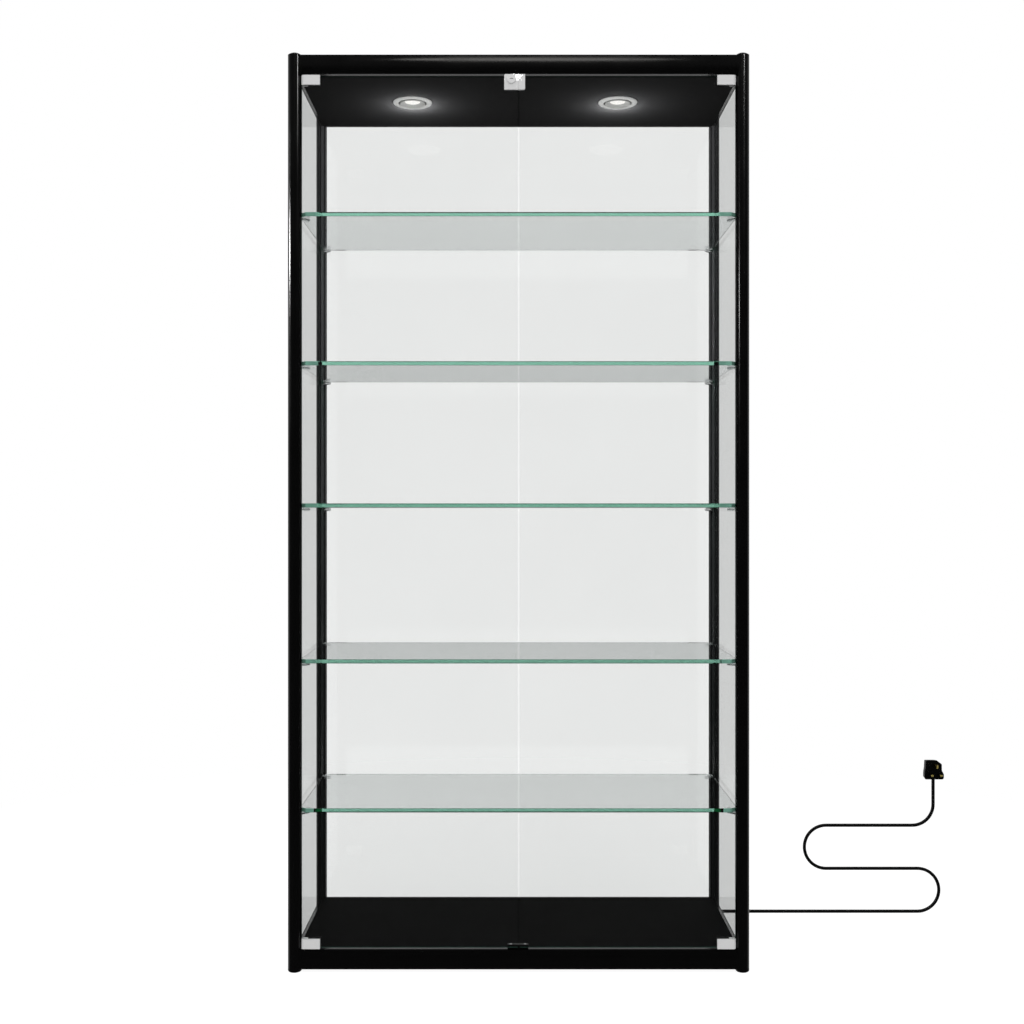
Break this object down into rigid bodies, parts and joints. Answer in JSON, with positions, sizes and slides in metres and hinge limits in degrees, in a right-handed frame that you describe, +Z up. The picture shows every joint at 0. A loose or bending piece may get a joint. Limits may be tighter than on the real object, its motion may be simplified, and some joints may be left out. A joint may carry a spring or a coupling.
{
  "type": "glass display cabinet",
  "caption": "Upright glazed display cabinet on four round black posts, with two pivoting glass doors, centre lock, adjustable glass shelves, tilting ceiling spotlights and a mains lead.",
  "frame": {"origin": "middle of the bounding box, mains lead included, on the floor; the cabinet's own middle is 0.2765 m to -X and 0.01175 m to -Y of it", "axes": "+Z up, doors on the -Y side, +X to the right of somebody facing the doors"},
  "size_m": [1.5545, 0.4236, 1.99],
  "materials": {
    "black_frame": "satin black powder coat",
    "black_board": "black melamine",
    "black_plastic": "matte",
    "clear_glass": "polished",
    "shelf_glass": "polished, green edges",
    "satin_metal": "satin",
    "steel": "bright",
    "seal": "matte",
    "lamp": "satin, with a white lens",
    "cable": "matte",
    "plug_brass": "polished",
    "chrome_pins": "bright, in clear sleeves"
  },
  "bodies": {
    "cabinet": {"post_front_left": "black_frame", "post_front_right": "black_frame", "post_rear_left": "black_frame", "post_rear_right": "black_frame", "post_top_caps": "black_plastic", "post_foot_caps": "black_plastic", "bottom_front_rail": "black_frame", "bottom_rear_rail": "black_frame", "bottom_left_rail": "black_frame", "bottom_right_rail": "black_frame", "top_front_rail": "black_frame", "top_rear_rail": "black_frame", "top_left_rail": "black_frame", "top_right_rail": "black_frame", "rail_locks": "steel", "deck_panel": "black_board", "ceiling_panel": "black_board", "roof_panel": "black_frame", "panel_screws": "steel", "side_glass_left": "clear_glass", "side_glass_right": "clear_glass", "back_glass": "clear_glass", "glazing_seals": "seal", "front_post_strips": "black_plastic", "hinge_bushes": "black_plastic", "door_stop": "black_plastic", "spotlight_bezels": "satin_metal", "spotlight_springs": "steel", "led_driver": "black_plastic", "lamp_wire": "cable", "mains_cable": "cable", "cable_gland": "black_plastic", "plug_body": "black_plastic", "plug_pins": "plug_brass"},
    "left_door": {"left_door_glass": "clear_glass", "left_hinge_clamps": "satin_metal", "left_hinge_screws": "steel", "lock_housing": "satin_metal", "lock_cover": "satin_metal"},
    "right_door": {"right_door_glass": "clear_glass", "right_hinge_clamps": "satin_metal", "right_hinge_screws": "steel", "lock_strike": "satin_metal"},
    "lock_barrel": {"lock_barrel": "satin_metal", "lock_cam": "steel"},
    "lock_bolt": {"lock_bolt": "steel"},
    "lock_tongue": {"lock_tongue": "steel"},
    "left_spotlight": {"left_spotlight": "lamp"},
    "right_spotlight": {"right_spotlight": "lamp"},
    "shelf_1": {"shelf_1": "shelf_glass", "shelf_1_supports": "chrome_pins"},
    "shelf_2": {"shelf_2": "shelf_glass", "shelf_2_supports": "chrome_pins"},
    "shelf_3": {"shelf_3": "shelf_glass", "shelf_3_supports": "chrome_pins"},
    "shelf_4": {"shelf_4": "shelf_glass", "shelf_4_supports": "chrome_pins"},
    "shelf_5": {"shelf_5": "shelf_glass", "shelf_5_supports": "chrome_pins"}
  },
  "joints": [
    {"name": "left_door_hinge", "type": "hinge", "parent": "cabinet", "child": "left_door", "pos_m": [-0.7395, -0.20275, 0.995], "axis": [0, 0, -1], "range_deg": [0, 105]},
    {"name": "right_door_hinge", "type": "hinge", "parent": "cabinet", "child": "right_door", "pos_m": [0.1865, -0.20275, 0.995], "axis": [0, 0, 1], "range_deg": [0, 105]},
    {"name": "lock_turn", "type": "hinge", "parent": "left_door", "child": "lock_barrel", "pos_m": [-0.2919, -0.20975, 1.93], "axis": [0, -1, 0], "range_deg": [0, 90]},
    {"name": "bolt_slide", "type": "slide", "parent": "left_door", "child": "lock_bolt", "axis": [0, 0, 1], "range_m": [0, 0.008]},
    {"name": "tongue_slide", "type": "slide", "parent": "left_door", "child": "lock_tongue", "axis": [1, 0, 0], "range_m": [0, 0.008]},
    {"name": "left_spotlight_tilt", "type": "hinge", "parent": "cabinet", "child": "left_spotlight", "pos_m": [-0.5205, -0.01675, 1.9392], "axis": [1, 0, 0], "range_deg": [-15, 15]},
    {"name": "right_spotlight_tilt", "type": "hinge", "parent": "cabinet", "child": "right_spotlight", "pos_m": [-0.0465, -0.01675, 1.9392], "axis": [1, 0, 0], "range_deg": [-15, 15]},
    {"name": "shelf_1_height", "type": "slide", "parent": "cabinet", "child": "shelf_1", "axis": [0, 0, 1], "range_m": [-0.14, 0.14]},
    {"name": "shelf_2_height", "type": "slide", "parent": "cabinet", "child": "shelf_2", "axis": [0, 0, 1], "range_m": [-0.14, 0.14]},
    {"name": "shelf_3_height", "type": "slide", "parent": "cabinet", "child": "shelf_3", "axis": [0, 0, 1], "range_m": [-0.14, 0.14]},
    {"name": "shelf_4_height", "type": "slide", "parent": "cabinet", "child": "shelf_4", "axis": [0, 0, 1], "range_m": [-0.14, 0.14]},
    {"name": "shelf_5_height", "type": "slide", "parent": "cabinet", "child": "shelf_5", "axis": [0, 0, 1], "range_m": [-0.14, 0.14]}
  ],
  "couplings": [
    {"joint": "bolt_slide", "follows": "lock_turn", "m_per_rad": 0.0050929},
    {"joint": "tongue_slide", "follows": "lock_turn", "m_per_rad": 0.0050929}
  ]
}
